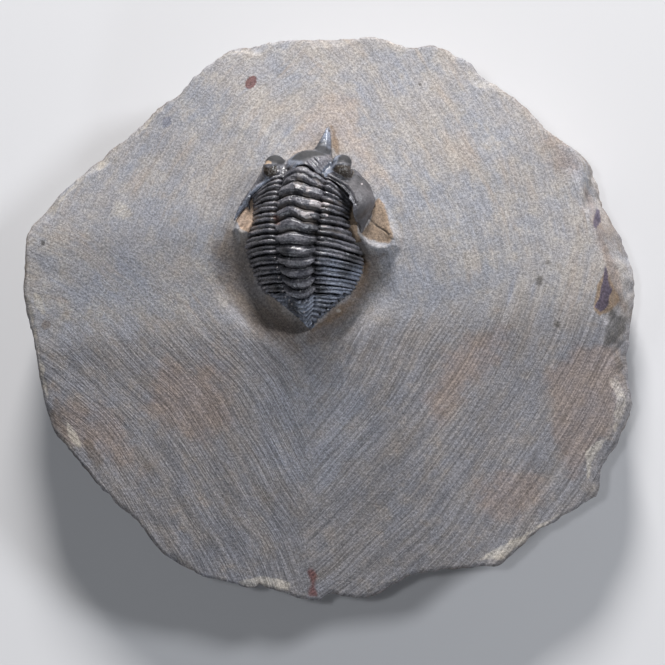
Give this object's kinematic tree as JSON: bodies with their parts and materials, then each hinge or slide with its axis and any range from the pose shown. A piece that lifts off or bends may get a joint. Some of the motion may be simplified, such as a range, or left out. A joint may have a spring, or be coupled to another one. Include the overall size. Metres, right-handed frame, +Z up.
{
  "type": "fossil pseudocryphaeus trilobite",
  "caption": "Dark trilobite with faceted eyes, a forward spine and an arched, ringed body, lying on a rounded piece of ground grey limestone.",
  "frame": {"origin": "on the flat underside of the rock, below the middle of the object's outline", "axes": "+Z up, +Y from the trilobite's tail towards its head, +X to the trilobite's right"},
  "size_m": [0.1056, 0.0963, 0.0327],
  "materials": {
    "limestone": "matte",
    "fossil_shell": "satin"
  },
  "bodies": {
    "root": {"matrix": "limestone", "cephalon": "fossil_shell", "thorax_segment_01": "fossil_shell", "thorax_segment_02": "fossil_shell", "thorax_segment_03": "fossil_shell", "thorax_segment_04": "fossil_shell", "thorax_segment_05": "fossil_shell", "thorax_segment_06": "fossil_shell", "thorax_segment_07": "fossil_shell", "thorax_segment_08": "fossil_shell", "thorax_segment_09": "fossil_shell", "thorax_segment_10": "fossil_shell", "thorax_segment_11": "fossil_shell", "pygidium": "fossil_shell"}
  },
  "joints": []
}
